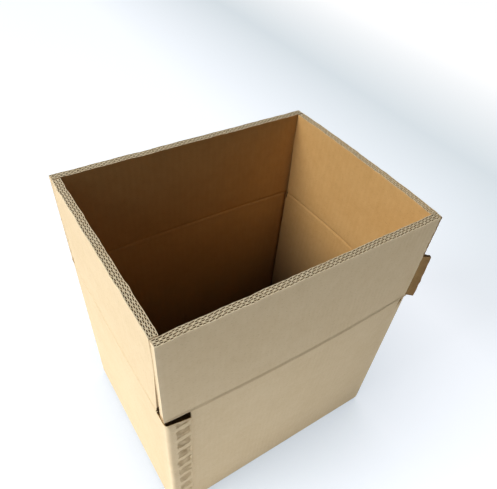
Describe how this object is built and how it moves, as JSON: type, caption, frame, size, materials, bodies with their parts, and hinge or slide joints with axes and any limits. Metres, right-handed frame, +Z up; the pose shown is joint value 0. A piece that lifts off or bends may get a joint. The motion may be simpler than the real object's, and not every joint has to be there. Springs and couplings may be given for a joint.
{
  "type": "corrugated cardboard carton",
  "caption": "Set-up corrugated carton with its top flaps standing open and its bottom flaps folded shut, for packing and shipping goods.",
  "frame": {"origin": "middle of the underside, where the long bottom flaps meet", "axes": "+Z up out of the opening, X along the carton's length, front wall with the glue tab towards -Y"},
  "size_m": [0.3268, 0.2508, 0.3641],
  "materials": {
    "kraft_board": "matt kraft liner"
  },
  "bodies": {
    "carton": {"carton_body": "kraft_board"},
    "front_flap": {"front_flap": "kraft_board"},
    "back_flap": {"back_flap": "kraft_board"},
    "left_flap": {"left_flap": "kraft_board"},
    "right_flap": {"right_flap": "kraft_board"}
  },
  "joints": [
    {"name": "front_crease", "type": "hinge", "parent": "carton", "child": "front_flap", "pos_m": [0, -0.1215, 0.2434], "axis": [1, 0, 0], "range_deg": [0, 140]},
    {"name": "back_crease", "type": "hinge", "parent": "carton", "child": "back_flap", "pos_m": [0, 0.1215, 0.2434], "axis": [-1, 0, 0], "range_deg": [0, 140]},
    {"name": "left_crease", "type": "hinge", "parent": "carton", "child": "left_flap", "pos_m": [-0.156, 0, 0.2434], "axis": [0, -1, 0], "range_deg": [-90, 110]},
    {"name": "right_crease", "type": "hinge", "parent": "carton", "child": "right_flap", "pos_m": [0.156, 0, 0.2434], "axis": [0, 1, 0], "range_deg": [-90, 110]}
  ]
}
